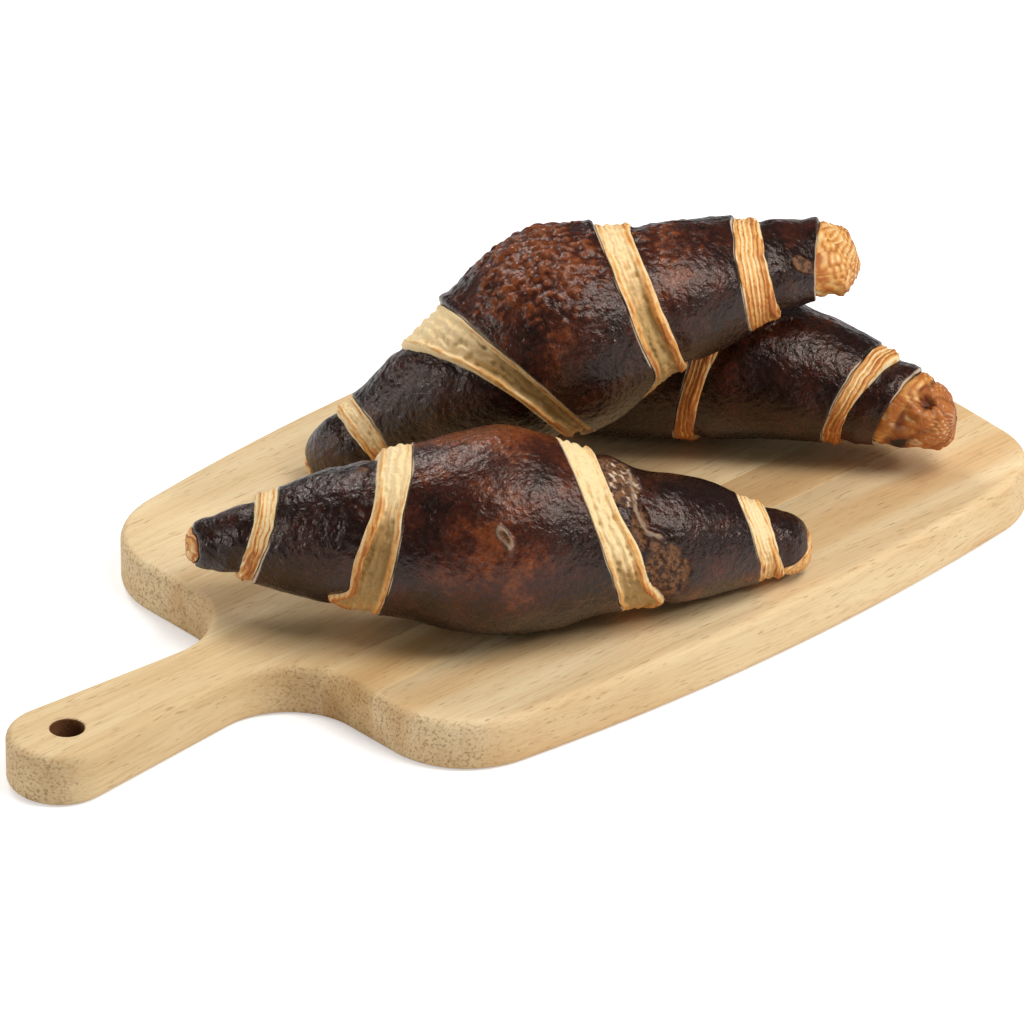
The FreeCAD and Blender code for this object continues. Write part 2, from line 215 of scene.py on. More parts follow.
grain, into, out = new_group(
    "wood grain",
    [("Vector", "Vector"), ("Pale", "Color"), ("Brown", "Color"), ("Streak", "Color"),
     ("Streak amount", "Float"), ("Offset", "Vector")],
    [("Color", "Color"), ("Roughness", "Float"), ("Height", "Float")])
moved = wire(grain, "VectorMath", {"operation": "ADD"}, n0=into.outputs["Vector"],
             n1=into.outputs["Offset"]).outputs[0]
sway = wire(grain, "TexNoise", None, Vector=stretched(grain, moved, (9, 30, 30)), Scale=1.0,
            Detail=1.0).outputs["Color"]
swayed = wire(grain, "VectorMath", {"operation": "MULTIPLY_ADD"}, n0=sway,
              n1=(0, 0.009, 0.005), n2=moved).outputs[0]
tone = speckle(grain, stretched(grain, swayed, (5, 60, 45)), 1.0, 3.0, 0.55)
bands = speckle(grain, stretched(grain, swayed, (7, 300, 190)), 1.0, 2.0, 0.6)
fibre = speckle(grain, stretched(grain, swayed, (45, 1500, 1500)), 1.0, 2.0, 0.6)
pores = speckle(grain, stretched(grain, swayed, (190, 1900, 1900)), 1.0, 1.0, 0.5)
dashes = speckle(grain, stretched(grain, swayed, (95, 900, 700), (5, 2, 9)), 1.0, 2.0, 0.6)
streaks = speckle(grain, stretched(grain, swayed, (3.0, 34, 24), (3, 5, 7)), 1.0, 2.0, 0.5)
base = blend(grain, ramp(grain, tone, 0.36, 0.70), into.outputs["Pale"], into.outputs["Brown"])
base = blend(grain, ramp(grain, bands, 0.42, 0.76, 0.0, 0.34), base, into.outputs["Brown"])
streak_share = wire(grain, "Math", {"operation": "MULTIPLY"}, n0=ramp(grain, streaks, 0.55, 0.72),
                    n1=into.outputs["Streak amount"]).outputs[0]
base = blend(grain, streak_share, base, into.outputs["Streak"])
base = blend(grain, ramp(grain, fibre, 0.45, 0.75, 0.0, 0.22), base, colour(190, 148, 98), "MULTIPLY")
base = blend(grain, ramp(grain, dashes, 0.56, 0.76, 0.0, 0.30), base, into.outputs["Streak"])
pore_share = ramp(grain, pores, 0.64, 0.76)
base = blend(grain, wire(grain, "Math", {"operation": "MULTIPLY"}, n0=pore_share,
                         n1=0.42).outputs[0], base, colour(140, 92, 50))
# where the fibres meet the surface end on, their open ends show as orange-brown dots
across = wire(grain, "Math", {"operation": "ABSOLUTE"}, n0=wire(
    grain, "SeparateXYZ", None, Vector=wire(grain, "NewGeometry").outputs["Normal"]).outputs["X"])
ends = ramp(grain, across.outputs[0], 0.25, 0.75)
dots = speckle(grain, stretched(grain, swayed, (900, 1250, 1250)), 1.0, 2.0, 0.6)
dot_share = wire(grain, "Math", {"operation": "MULTIPLY"}, n0=ends,
                 n1=ramp(grain, dots, 0.50, 0.66, 0.0, 0.55)).outputs[0]
base = blend(grain, dot_share, base, colour(150, 96, 52))
grain.links.new(base, out.inputs["Color"])
grain.links.new(ramp(grain, fibre, 0.3, 0.7, 0.56, 0.72), out.inputs["Roughness"])
relief = wire(grain, "Math", {"operation": "MULTIPLY_ADD"}, n0=pore_share, n1=-0.7,
              n2=wire(grain, "Math", {"operation": "MULTIPLY"}, n0=fibre, n1=0.35).outputs[0])
relief = wire(grain, "Math", {"operation": "MULTIPLY_ADD"}, n0=dot_share, n1=-0.8,
              n2=relief.outputs[0])
grain.links.new(relief.outputs[0], out.inputs["Height"])


def new_finish(name, **constants):
    """A material whose plain numbers are set on the shader itself."""
    finish = bpy.data.materials.new(name)
    finish.use_nodes = True
    shader = finish.node_tree.nodes["Principled BSDF"]
    for label, value in constants.items():
        shader.inputs[label.replace("__", " ")].default_value = value
    return finish, finish.node_tree, shader


def wood(name, pale, brown, streak, streak_amount, offset):
    """Oiled wood for one stave."""
    finish, tree, shader = new_finish(name, Specular__IOR__Level=0.32)
    where = wire(tree, "TexCoord").outputs["Object"]
    pattern = tree.nodes.new("ShaderNodeGroup")
    pattern.node_tree = grain
    tree.links.new(where, pattern.inputs["Vector"])
    for label, value in (("Pale", pale), ("Brown", brown), ("Streak", streak),
                         ("Streak amount", streak_amount), ("Offset", offset)):
        pattern.inputs[label].default_value = value
    dents = wire(tree, "Bump", None, Strength=0.55, Distance=0.00022,
                 Height=pattern.outputs["Height"])
    tree.links.new(pattern.outputs["Color"], shader.inputs["Base Color"])
    tree.links.new(pattern.outputs["Roughness"], shader.inputs["Roughness"])
    tree.links.new(dents.outputs[0], shader.inputs["Normal"])
    return finish


staves = {
    "rear_stave": wood("rear stave wood", colour(238, 212, 166), colour(218, 181, 128),
                       colour(222, 170, 112), 0.45, (0.31, 0.02, 0.1)),
    "handle_stave": wood("handle stave wood", colour(234, 207, 160), colour(213, 178, 127),
                         colour(196, 150, 98), 0.5, (1.17, 0.45, 0.3)),
    "front_inner_stave": wood("front inner stave wood", colour(232, 200, 148),
                              colour(210, 170, 114), colour(194, 142, 88), 0.5, (2.4, 0.83, 0.6)),
    "front_outer_stave": wood("front outer stave wood", colour(242, 216, 170),
                              colour(222, 184, 132), colour(200, 140, 88), 0.55, (3.9, 1.21, 0.9)),
}
GLUE_LINE = 0.00018        # half the width of the hairline groove along a glue line
HOLE_INSET = 0.0165        # handle's end to the middle of the hanging hole
HOLE_REACH = 0.0055        # how far from that middle the hole's own faces go
# The hanging hole's walls get a dark brown wood: painted shade inside the hole.
hole_shade_wood = wood("drilled hole wood", colour(128, 84, 48), colour(96, 58, 34), colour(70, 38, 24),
                0.6, (0.7, 0.2, 0.4))

for name, finish in staves.items():
    bm = bmesh.new()
    bm.from_mesh(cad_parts[name].data)
    bmesh.ops.remove_doubles(bm, verts=bm.verts, dist=2e-6)
    bmesh.ops.dissolve_limit(bm, angle_limit=math.radians(0.3), verts=bm.verts, edges=bm.edges)
    seam = [edge for edge in bm.edges if len(edge.link_faces) == 2
            and max(abs(face.normal.y) for face in edge.link_faces) > 0.999
            and max(abs(face.normal.z) for face in edge.link_faces) > 0.999
            and edge.calc_length() > 0.02]
    bmesh.ops.bevel(bm, geom=seam, offset=GLUE_LINE, offset_type="OFFSET", affect="EDGES",
                    segments=1, profile=0.5, material=-1)
    mesh = bpy.data.meshes.new("board_" + name)
    bm.to_mesh(mesh)
    bm.free()
    mesh.shade_smooth()
    mesh.set_sharp_from_angle(angle=math.radians(28))
    mesh.materials.append(finish)
    if name == "handle_stave":
        mesh.materials.append(hole_shade_wood)
        for face in mesh.polygons:
            from_hole = face.center - Vector((cad_box[0][0] + HOLE_INSET, 0, face.center.z))
            if abs(face.normal.z) < 0.5 and from_hole.length < HOLE_REACH:
                face.material_index = 1
    piece = bpy.data.objects.new("board_" + name, mesh)
    scene.collection.objects.link(piece)
    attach(piece, "board")
    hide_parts(name)

# ---------------------------------------------------------------- front croissant
# A roll of plain laminated dough, fatter in the middle, with a thin sheet of cocoa dough on
# its outside. Each turn shows as a cocoa wrap, and its cut edge as a strip of plain dough.
# Rolled up from a triangle, filled with cocoa cream and baked.

MM = 0.001
STATIONS = (-1.0, -0.7, -0.35, 0.0, 0.35, 0.7, 1.0)
SEEN_FROM = math.radians(59)      # where a wrap's edge reaches furthest, round the roll
WRAP_DEPTH = 1.5                  # cocoa sheet, in millimetres
ROLL_INSET = 1.8                  # crust to the dough roll under it
STRIP_TUCK = 1.2                  # how far bare dough runs on under the wrap that lies over it
STRIP_LIP = 0.4                   # how far it runs on past the edge that it lies over
WRAP_TUCK = 1.1                   # how far a wrap runs on under the dough that lies over it
DOUGH_SIDES = 288                 # faces round a dough roll
WRAP_STEP = 0.55                  # size of a wrap's faces
FAR = 9.0                         # stands for a distance too large to matter

front = {
    "yaw": -37.0, "pitch": -3.5, "length": 149.0, "bend": -15.0, "droop": 12.0,
    "radii": (7.0, 15.5, 22.5, 26.5, 21.0, 15.5, 8.5),
    # each wrap's two edges, as (middle, swing) in shares of half the length
    "wraps": (((-1.055, -0.01), (-0.89, 0.03)), ((-0.82, 0.045), (-0.50, 0.055)),
              ((-0.38, 0.055), (0.29, -0.115)), ((0.41, -0.105), (0.87, -0.045)),
              ((0.965, -0.04), (1.095, -0.01))),
    # which neighbour of each strip lies on top, -1 the left one
    "over": (1, 1, -1, -1),
    "seed": 1,
}


def lattice(cells, seed):
    """A steady random number for each whole-number place."""
    mixed = (cells[..., 0] * 73856093) ^ (cells[..., 1] * 19349663) ^ (cells[..., 2] * 83492791)
    mixed = (mixed + seed * 2654435) & 0xFFFFFFFF
    mixed = ((mixed ^ (mixed >> 15)) * 2246822519) & 0xFFFFFFFF
    mixed = ((mixed ^ (mixed >> 13)) * 3266489917) & 0xFFFFFFFF
    return ((mixed ^ (mixed >> 16)) & 0xFFFFFF) / 0xFFFFFF


def bumps(points, size, seed, octaves=1):
    """Smooth noise from -1 to 1, with bumps about size millimetres across."""
    total, weight = 0.0, 0.0
    for octave in range(octaves):
        spot = points / size * 2 ** octave + 50 * (octave + 1)
        corner = np.floor(spot).astype(np.int64)
        part = spot - corner
        part = part * part * (3 - 2 * part)
        value = 0.0
        for step in np.ndindex(2, 2, 2):
            share = np.prod(np.where(np.array(step) == 1, part, 1 - part), axis=-1)
            value = value + share * lattice(corner + np.array(step), seed + octave)
        total = total + (2 * value - 1) / 2 ** octave
        weight += 1 / 2 ** octave
    return total / weight


def pimples(points, size, seed):
    """Distance to the nearest of a scatter of spots, in sizes, and that spot's own number."""
    spot = points / size + 50
    corner = np.floor(spot - 0.5).astype(np.int64)
    near = np.full(len(points), FAR)
    own = np.zeros(len(points))
    for step in np.ndindex(2, 2, 2):
        cell = corner + np.array(step)
        centre = cell + np.stack([0.2 + 0.6 * lattice(cell, seed + k) for k in (1, 2, 3)], axis=-1)
        distance = np.linalg.norm(spot - centre, axis=-1)
        closer = distance < near
        near = np.where(closer, distance, near)
        own = np.where(closer, lattice(cell, seed + 7), own)
    return near, own


def rise(value, low, high):
    """A smooth step from 0 at low to 1 at high."""
    share = np.clip((value - low) / (high - low), 0, 1)
    return share * share * (3 - 2 * share)


def hump(value, middle, width):
    """A smooth hump of height 1."""
    return np.exp(-((value - middle) / width) ** 2)


def round_gap(angle, middle, width):
    """A smooth hump round the roll, at an angle in degrees."""
    away = (np.degrees(angle) - middle + 180) % 360 - 180
    return np.exp(-(away / width) ** 2)


def patches(entries, number, share, angle):
    """Patches on one wrap, each (wrap, place, angle, length, width, strength), added up."""
    total = np.zeros_like(share)
    for where, middle_share, middle_angle, long, wide_angle, strength in entries:
        if where == number:
            total = total + strength * hump(share, middle_share, long) \
                * round_gap(angle, middle_angle, wide_angle)
    return total


def stretches(entries, number, angle):
    """Stretches round one strip, each (strip, angle, width, height), added up."""
    total = 0.0
    for where, middle_angle, width, height in entries:
        if where == number:
            total = total + height * round_gap(angle, middle_angle, width)
    return total


def crust_radius(roll, share):
    """Radius of the crust along the roll, with round ends."""
    radii = np.array(roll["radii"])
    slopes = np.gradient(radii, np.array(STATIONS))
    inside = np.clip(share, -1, 1)
    span = np.clip(np.searchsorted(STATIONS, inside, side="right") - 1, 0, len(STATIONS) - 2)
    start = np.take(STATIONS, span)
    width = np.take(STATIONS, span + 1) - start
    part = (inside - start) / width
    smooth = ((2 * part ** 3 - 3 * part ** 2 + 1) * radii[span]
              + (part ** 3 - 2 * part ** 2 + part) * width * slopes[span]
              + (3 * part ** 2 - 2 * part ** 3) * radii[span + 1]
              + (part ** 3 - part ** 2) * width * slopes[span + 1])
    beyond = np.maximum(np.abs(share) - 1, 0) * roll["length"] / 2
    end = np.where(share > 0, radii[-1], radii[0])
    cap = np.sqrt(np.clip(1 - (beyond / end) ** 2, 0, 1))
    return np.where(beyond > 0, end * cap, smooth)


def lay(roll, share, angle, lift):
    """Points on the crust raised by lift millimetres, in the roll's own frame."""
    half = roll["length"] / 2
    radius = crust_radius(roll, share) + lift
    for middle, middle_angle, long, wide_angle, height in roll.get("swells", ()):
        radius = radius + height * hump(share, middle, long) * round_gap(angle, middle_angle, wide_angle)
    radius = np.maximum(radius, 0)
    return np.stack([half * share,
                     roll["bend"] * (1 - share ** 2) + radius * np.cos(angle),
                     -roll["droop"] * share ** 2 + radius * np.sin(angle)], axis=-1)


def turned(roll, points):
    """Turn points of the roll the way it lies, about the board's axes."""
    pose = (Matrix.Rotation(math.radians(roll["yaw"]), 3, "Z")
            @ Matrix.Rotation(math.radians(-roll["pitch"]), 3, "Y"))
    return points @ np.array(pose).T


def seat(roll, name):
    """Find where the roll lies, from the middle of the CAD dough's box."""
    shares, angles = np.meshgrid(np.linspace(-1.13, 1.13, 400), np.linspace(0, 2 * np.pi, 181))
    form = turned(roll, lay(dict(roll, swells=()), shares.ravel(), angles.ravel(), -ROLL_INSET))
    low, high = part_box(name)
    roll["base"] = (np.array(low) + np.array(high)) / 2 / MM - (form.min(0) + form.max(0)) / 2


def edge_place(roll, number, angle):
    """Where edge number of the wraps runs, round the roll, with its waver."""
    middle, swing = roll["wraps"][number // 2][number % 2]
    place = middle + swing * np.cos(angle - SEEN_FROM)
    around = np.stack([np.cos(angle) * 9, np.sin(angle) * 9, np.full_like(angle, number * 7.0)], -1)
    waver = 0.7 * bumps(around, 6.0, roll["seed"]) + 0.22 * bumps(around, 1.6, roll["seed"] + 5)
    for where, middle_angle, width, reach in roll.get("flares", ()):
        if where == number:
            waver = waver + reach * round_gap(angle, middle_angle, width)
    return place + waver / (roll["length"] / 2)


def spun_shell(corners, cuts, sides):
    """A chain of (place, height) corners, cut finely and turned round X into a shell."""
    bm = bmesh.new()
    chain = [bm.verts.new((place, height, 0)) for place, height in corners]
    spans = [(bm.edges.new(pair), cut) for pair, cut in zip(zip(chain, chain[1:]), cuts)]
    if len(cuts) == len(chain):
        spans.append((bm.edges.new((chain[-1], chain[0])), cuts[-1]))
    for edge, cut in spans:
        if cut:
            bmesh.ops.subdivide_edges(bm, edges=[edge], cuts=cut)
    bmesh.ops.spin(bm, geom=bm.verts[:] + bm.edges[:], cent=(0, 0, 0), axis=(1, 0, 0),
                   angle=2 * math.pi, steps=sides, use_merge=True)
    bmesh.ops.remove_doubles(bm, verts=bm.verts, dist=1e-5)
    return bm


def bake(bm, roll, name, body, points, tints, finish, stands_for):
    """Move a shell's points to their places and make the piece, with its baked tints."""
    mesh = bpy.data.meshes.new(name)
    bm.to_mesh(mesh)
    bm.free()
    mesh.vertices.foreach_set("co", ((turned(roll, points) + roll["base"]) * MM).ravel())
    bm = bmesh.new()
    bm.from_mesh(mesh)
    bmesh.ops.recalc_face_normals(bm, faces=bm.faces)
    bm.to_mesh(mesh)
    bm.free()
    mesh.shade_smooth()
    tint = mesh.attributes.new("baked", "FLOAT_COLOR", "POINT")
    tint.data.foreach_set("color", np.clip(np.stack(tints, -1), 0, 1).astype(np.float32).ravel())
    mesh.materials.append(finish)
    piece = bpy.data.objects.new(name, mesh)
    scene.collection.objects.link(piece)
    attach(piece, body)
    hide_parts(stands_for)


def shell_points(bm):
    """Each point's place along the chain, its height and its angle round X."""
    spots = np.array([vert.co[:] for vert in bm.verts])
    return spots[:, 0], np.hypot(spots[:, 1], spots[:, 2]), np.arctan2(spots[:, 2], spots[:, 1])


def strip_relief(roll, strip, share, angle, left, right, flat):
    """Height and tints of the bare dough between two wraps, from its upper edge to its lip, with painted
    shade in its pits, hollows and underside.
    """
    seed = roll["seed"] * 10 + strip
    half = roll["length"] / 2
    over = roll["over"][strip]
    sliced = roll["sliced"][strip]
    across = np.clip((share - left) / (right - left), -0.3, 1.3)
    from_top = across if over < 0 else 1 - across
    wide = (right - left) * half
    top_gap, lip_gap = from_top * wide, (1 - from_top) * wide
    # low is the roll's underside. The strip is painted browner and more khaki there and its puffs paler on
    # top: partly real toasting, partly painted shade below and painted light above.
    low = rise(-np.sin(angle), -0.7, 0.35)
    sway = 0.5 * bumps(flat, 9.0, seed) + 0.2 * bumps(flat, 3.0, seed + 1)
    fine = bumps(flat, 0.8, seed + 2, 2)
    clots = bumps(flat, 3.2, seed + 4, 3)
    leaf = top_gap + 1.1 * sway + 0.35 * clots
    leaves = 0.65 * np.sin(2 * np.pi * leaf / 1.1) + 0.35 * np.sin(2 * np.pi * leaf / 0.62 + 5 * sway)
    grooves = np.sin(2 * np.pi * (top_gap + 2.0 * sway + 0.9 * clots) / 2.6)
    pit_gap, pit_size = pimples(flat, 2.3, seed + 3)
    pits = (1 - rise(pit_gap, 0.15, 0.6)) * rise(pit_size, 0.25, 0.6)
    ridge = hump(lip_gap, 1.5 + 1.1 * sway, 0.8)
    lip = 1 - rise(lip_gap, 0.2, 0.8)
    crumb = rise(top_gap, 0.9, 2.0) * rise(lip_gap, 1.6, 2.8)
    open_crumb = crumb * (1 - 0.75 * sliced)
    puff = stretches(roll.get("puffs", ()), strip, angle)
    hollow = stretches(roll.get("hollows", ()), strip, angle)
    hollow = hollow * rise(top_gap, 0.9, 2.2) * rise(lip_gap, 1.9 + sway, 3.2 + sway)
    puffed = np.clip(puff, 0, 1)
    lift = (-0.35 + (0.025 + 0.14 * sliced) * leaves
            + open_crumb * (-0.45 + 0.30 * grooves + 0.55 * clots - 0.65 * pits) - hollow
            + ridge * (0.45 + 0.7 * sway) + 0.25 * lip
            + puff * np.sin(np.pi * np.clip(from_top, 0, 1)) + 0.11 * fine)
    lift = lift - 1.5 * (1 - rise(top_gap, -0.2, 0.35)) - 3.0 * (1 - rise(lip_gap, -0.35, 0.45))
    toast = (0.14 + roll["toast"][strip] + 0.35 * low + 0.30 * sway + (0.15 + 0.45 * sliced) * leaves
             + 0.55 * ridge - 0.15 * lip + 0.25 * clots + 0.2 * fine
             + 0.45 * hump(top_gap, 0.9, 0.4) - 0.30 * puffed * (1 - low))
    # The open crumb is khaki, more so in its pits and hollows: the crumb's own colour, with painted shade in
    # those recesses.
    khaki = open_crumb * (0.05 + 0.55 * low + 0.45 * pits + 0.45 * np.clip(hollow, 0, 1.5)
                          - 0.35 * clots - 0.25 * puffed)
    pale = (0.85 * hump(top_gap, 0.3, 0.3) + 0.45 * lip + 0.45 * puffed * crumb * (1 - low)
            + 0.35 * clots - 0.3 * sliced * leaves)
    return lift, toast, khaki, pale


def dough_roll(name, body, roll, finish):
    """The plain dough: smooth where the wraps hide it, with a worked strip between them."""
    wraps = len(roll["wraps"])
    ends = 2 * wraps + 1
    corners = [(0, 0), (0.12, 1)] + [(place, 1) for place in range(1, ends)] \
        + [(ends - 0.12, 1), (ends, 0)]
    cuts = [1, 16] + [7 if number % 2 else 39 for number in range(1, ends - 1)] + [16, 1]
    bm = spun_shell(corners, cuts, DOUGH_SIDES)
    along, height, angle = shell_points(bm)
    half = roll["length"] / 2
    first_pole = -1 - (roll["radii"][0] - ROLL_INSET + 1.2) / half
    last_pole = 1 + (roll["radii"][-1] - ROLL_INSET + 1.2) / half
    edges = [np.full_like(angle, first_pole)]
    for number in range(2 * wraps):
        edges.append(edge_place(roll, number, angle))
    edges.append(np.full_like(angle, last_pole))
    # a strip's dough runs on under the wrap that lies over it
    for strip, over in enumerate(roll["over"]):
        before, after = (STRIP_TUCK, STRIP_LIP) if over < 0 else (STRIP_LIP, STRIP_TUCK)
        edges[2 * strip + 2] = edges[2 * strip + 2] - before / half
        edges[2 * strip + 3] = edges[2 * strip + 3] + after / half
    edges = np.stack(edges)
    span = np.clip(np.floor(along + 1e-6).astype(int), 0, ends - 1)
    part = np.clip(along - span, 0, 1)
    part = np.where(span == 0, part ** 1.7, np.where(span == ends - 1, 1 - (1 - part) ** 1.7, part))
    column = np.arange(len(angle))
    share = edges[span, column] * (1 - part) + edges[span + 1, column] * part
    flat = lay(roll, share, angle, 0)
    lift = np.full_like(share, -2.1)
    toast, khaki, pale, cocoa = (np.zeros_like(share) for _ in range(4))
    for strip, over in enumerate(roll["over"]):
        here = (span == 2 * strip + 2) | (along == 2 * strip + 2) | (along == 2 * strip + 3)
        left = edge_place(roll, 2 * strip + 1, angle[here])
        right = edge_place(roll, 2 * strip + 2, angle[here])
        values = strip_relief(roll, strip, share[here], angle[here], left, right, flat[here])
        for store, value in zip((lift, toast, khaki, pale), values):
            store[here] = value
    caps = (span == 0) | (span == ends - 1)
    fine = bumps(flat, 0.9, roll["seed"] + 90, 2)
    slow = bumps(flat, 5.0, roll["seed"] + 91, 2)
    folds = bumps(flat * np.array((0.45, 1.0, 1.0)), 4.0, roll["seed"] + 92, 2)
    ragged = np.where(span == 0, *roll["ragged"])
    out_of = np.where(span == 0, edges[1] - share, share - edges[-2]) * half
    leaf = 0.9 * out_of + 0.7 * angle + 1.2 * slow
    leaves = 0.65 * np.sin(2 * np.pi * leaf / 1.3) + 0.35 * np.sin(2 * np.pi * leaf / 0.7 + 3 * slow)
    cap_lift = -0.5 - rise(0.4 - out_of, 0.0, 0.6) + (0.14 + 0.12 * ragged) * leaves \
        + ragged * (0.15 * folds + 0.6 * slow + 0.8 * hump(out_of, 7.5, 3.0)) * rise(out_of, 0.3, 2.5) \
        + 0.05 * fine
    cap_toast = 0.70 + 0.35 * slow + 0.2 * fine + 0.15 * folds + 0.45 * leaves
    cap_cocoa_and_shade = np.zeros_like(share)
    if "coil" in roll:
        # the end of the roll: a ring of layers, then a swirl with folds round a dark hollow
        ring, eye_share, eye_angle, eye_size = roll["coil"]
        right_end = span == ends - 1
        eye = lay(roll, np.array([eye_share]), np.array([math.radians(eye_angle)]), 0)
        outward = lay(roll, np.array([eye_share]), np.array([math.radians(eye_angle)]), 1) - eye
        outward = outward[0] * (0.5, 1, 1) + (0.8, 0, 0)
        outward = outward / np.linalg.norm(outward)
        aside = np.cross(outward, (0, 1, 0))
        aside = aside / np.linalg.norm(aside)
        from_eye = flat - eye
        turn_of = np.arctan2(from_eye @ np.cross(outward, aside), from_eye @ aside)
        far = np.linalg.norm(from_eye, axis=-1)
        swirl = rise(out_of, ring, ring + 1.0)
        spokes = np.sin(8 * turn_of + 0.5 * far + 2.5 * slow)
        hollow = 1 - rise(far, 0.5 * eye_size, 1.3 * eye_size)
        groove = hump(out_of, ring + 0.5 * slow, 0.55)
        patch = round_gap(angle, 224.0, 26.0) * hump(out_of, ring + 2.6, 2.4)
        cap_lift = cap_lift + right_end * (swirl * 0.30 * spokes - 0.9 * groove - 2.2 * hollow
                                           + 0.5 * hump(far, 1.9 * eye_size, 1.0))
        # The groove and the valleys between the folds are painted dark: painted shade. The patch low on the
        # left and the hollow are the cocoa filling's own colour.
        cap_cocoa_and_shade = right_end * np.clip(0.55 * groove + 1.4 * patch + 0.62 * hollow
                                        + 0.25 * swirl * (0.3 - spokes), 0, 1)
        cap_toast = cap_toast + right_end * (0.30 + 0.35 * swirl + 0.25 * spokes * swirl)
    lift[caps] = cap_lift[caps]
    toast[caps] = cap_toast[caps]
    pale[caps] = (0.15 - 0.45 * leaves + 0.3 * folds)[caps]
    cocoa[caps] = cap_cocoa_and_shade[caps]
    points = lay(roll, share, angle, lift)
    pole = height < 0.5
    points[pole, 1] = roll["bend"] * (1 - share[pole] ** 2)
    points[pole, 2] = -roll["droop"] * share[pole] ** 2
    bake(bm, roll, name + "_roll", body, points, (toast, khaki, pale, cocoa), finish,
         name + "_dough")


